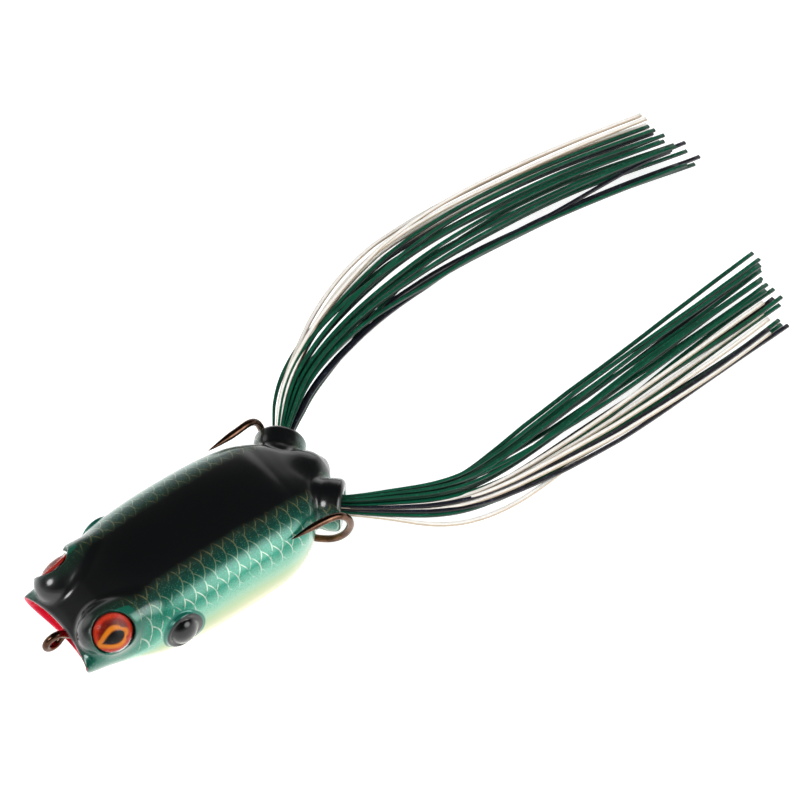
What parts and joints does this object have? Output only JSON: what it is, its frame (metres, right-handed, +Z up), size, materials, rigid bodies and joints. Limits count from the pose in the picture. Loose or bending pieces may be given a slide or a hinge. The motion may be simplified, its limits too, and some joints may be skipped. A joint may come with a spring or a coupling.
{
  "type": "topwater popper",
  "caption": "Soft hollow popping frog lure with a cupped mouth, upturned double hook and two long silicone skirt legs.",
  "frame": {"origin": "middle of the belly's flat, which the lure rests on", "axes": "+Y towards the tail and skirt, +Z up through the back, +X to the frog's left"},
  "size_m": [0.0656, 0.1741, 0.0199],
  "materials": {
    "body_skin": "glossy painted soft PVC, black back, green flanks, cream belly",
    "hook_wire": "dark bronze plated wire",
    "cast_lead": "dull cast metal",
    "eye_foil": "printed orange and red foil",
    "eye_dome": "clear domed resin",
    "band_rubber": "matt black rubber",
    "strand_green": "emerald silicone with fine flake",
    "strand_dark": "blue-black silicone",
    "strand_white": "pearl white silicone"
  },
  "bodies": {
    "lure_body": {"body_shell": "body_skin", "double_hook": "hook_wire", "keel_weight": "cast_lead", "left_eye_foil": "eye_foil", "left_eye_dome": "eye_dome", "right_eye_foil": "eye_foil", "right_eye_dome": "eye_dome"},
    "left_band": {"left_skirt_band": "band_rubber"},
    "left_leg": {"left_strand_01": "strand_green", "left_strand_02": "strand_green", "left_strand_03": "strand_dark", "left_strand_04": "strand_white", "left_strand_05": "strand_dark", "left_strand_06": "strand_green", "left_strand_07": "strand_green", "left_strand_08": "strand_green", "left_strand_09": "strand_dark", "left_strand_10": "strand_green", "left_strand_11": "strand_green", "left_strand_12": "strand_white", "left_strand_13": "strand_green", "left_strand_14": "strand_dark", "left_strand_15": "strand_green", "left_strand_16": "strand_green", "left_strand_17": "strand_white", "left_strand_18": "strand_green", "left_strand_19": "strand_green", "left_strand_20": "strand_green", "left_strand_21": "strand_dark", "left_strand_22": "strand_white", "left_strand_23": "strand_green", "left_strand_24": "strand_dark", "left_strand_25": "strand_white"},
    "right_band": {"right_skirt_band": "band_rubber"},
    "right_leg": {"right_strand_01": "strand_dark", "right_strand_02": "strand_green", "right_strand_03": "strand_green", "right_strand_04": "strand_green", "right_strand_05": "strand_dark", "right_strand_06": "strand_green", "right_strand_07": "strand_dark", "right_strand_08": "strand_green", "right_strand_09": "strand_dark", "right_strand_10": "strand_white", "right_strand_11": "strand_dark", "right_strand_12": "strand_green", "right_strand_13": "strand_white", "right_strand_14": "strand_dark", "right_strand_15": "strand_green", "right_strand_16": "strand_green", "right_strand_17": "strand_green", "right_strand_18": "strand_white", "right_strand_19": "strand_green", "right_strand_20": "strand_green", "right_strand_21": "strand_white", "right_strand_22": "strand_dark", "right_strand_23": "strand_white", "right_strand_24": "strand_green", "right_strand_25": "strand_green"}
  },
  "joints": [
    {"name": "left_leg_sweep", "type": "hinge", "parent": "lure_body", "child": "left_band", "pos_m": [0.00824, 0.02504, 0.0116], "axis": [0, 0, 1], "range_deg": [-12, 4], "stiffness_Nm_per_rad": 0.02},
    {"name": "left_leg_lift", "type": "hinge", "parent": "left_band", "child": "left_leg", "pos_m": [0.00824, 0.02504, 0.0116], "axis": [1, 0, 0], "range_deg": [-2, 20], "stiffness_Nm_per_rad": 0.03, "springref_deg": 0.57},
    {"name": "right_leg_sweep", "type": "hinge", "parent": "lure_body", "child": "right_band", "pos_m": [-0.00824, 0.02504, 0.0116], "axis": [0, 0, 1], "range_deg": [-9, 12], "stiffness_Nm_per_rad": 0.02},
    {"name": "right_leg_lift", "type": "hinge", "parent": "right_band", "child": "right_leg", "pos_m": [-0.00824, 0.02504, 0.0116], "axis": [1, 0, 0], "range_deg": [-2, 20], "stiffness_Nm_per_rad": 0.03, "springref_deg": 0.57}
  ]
}
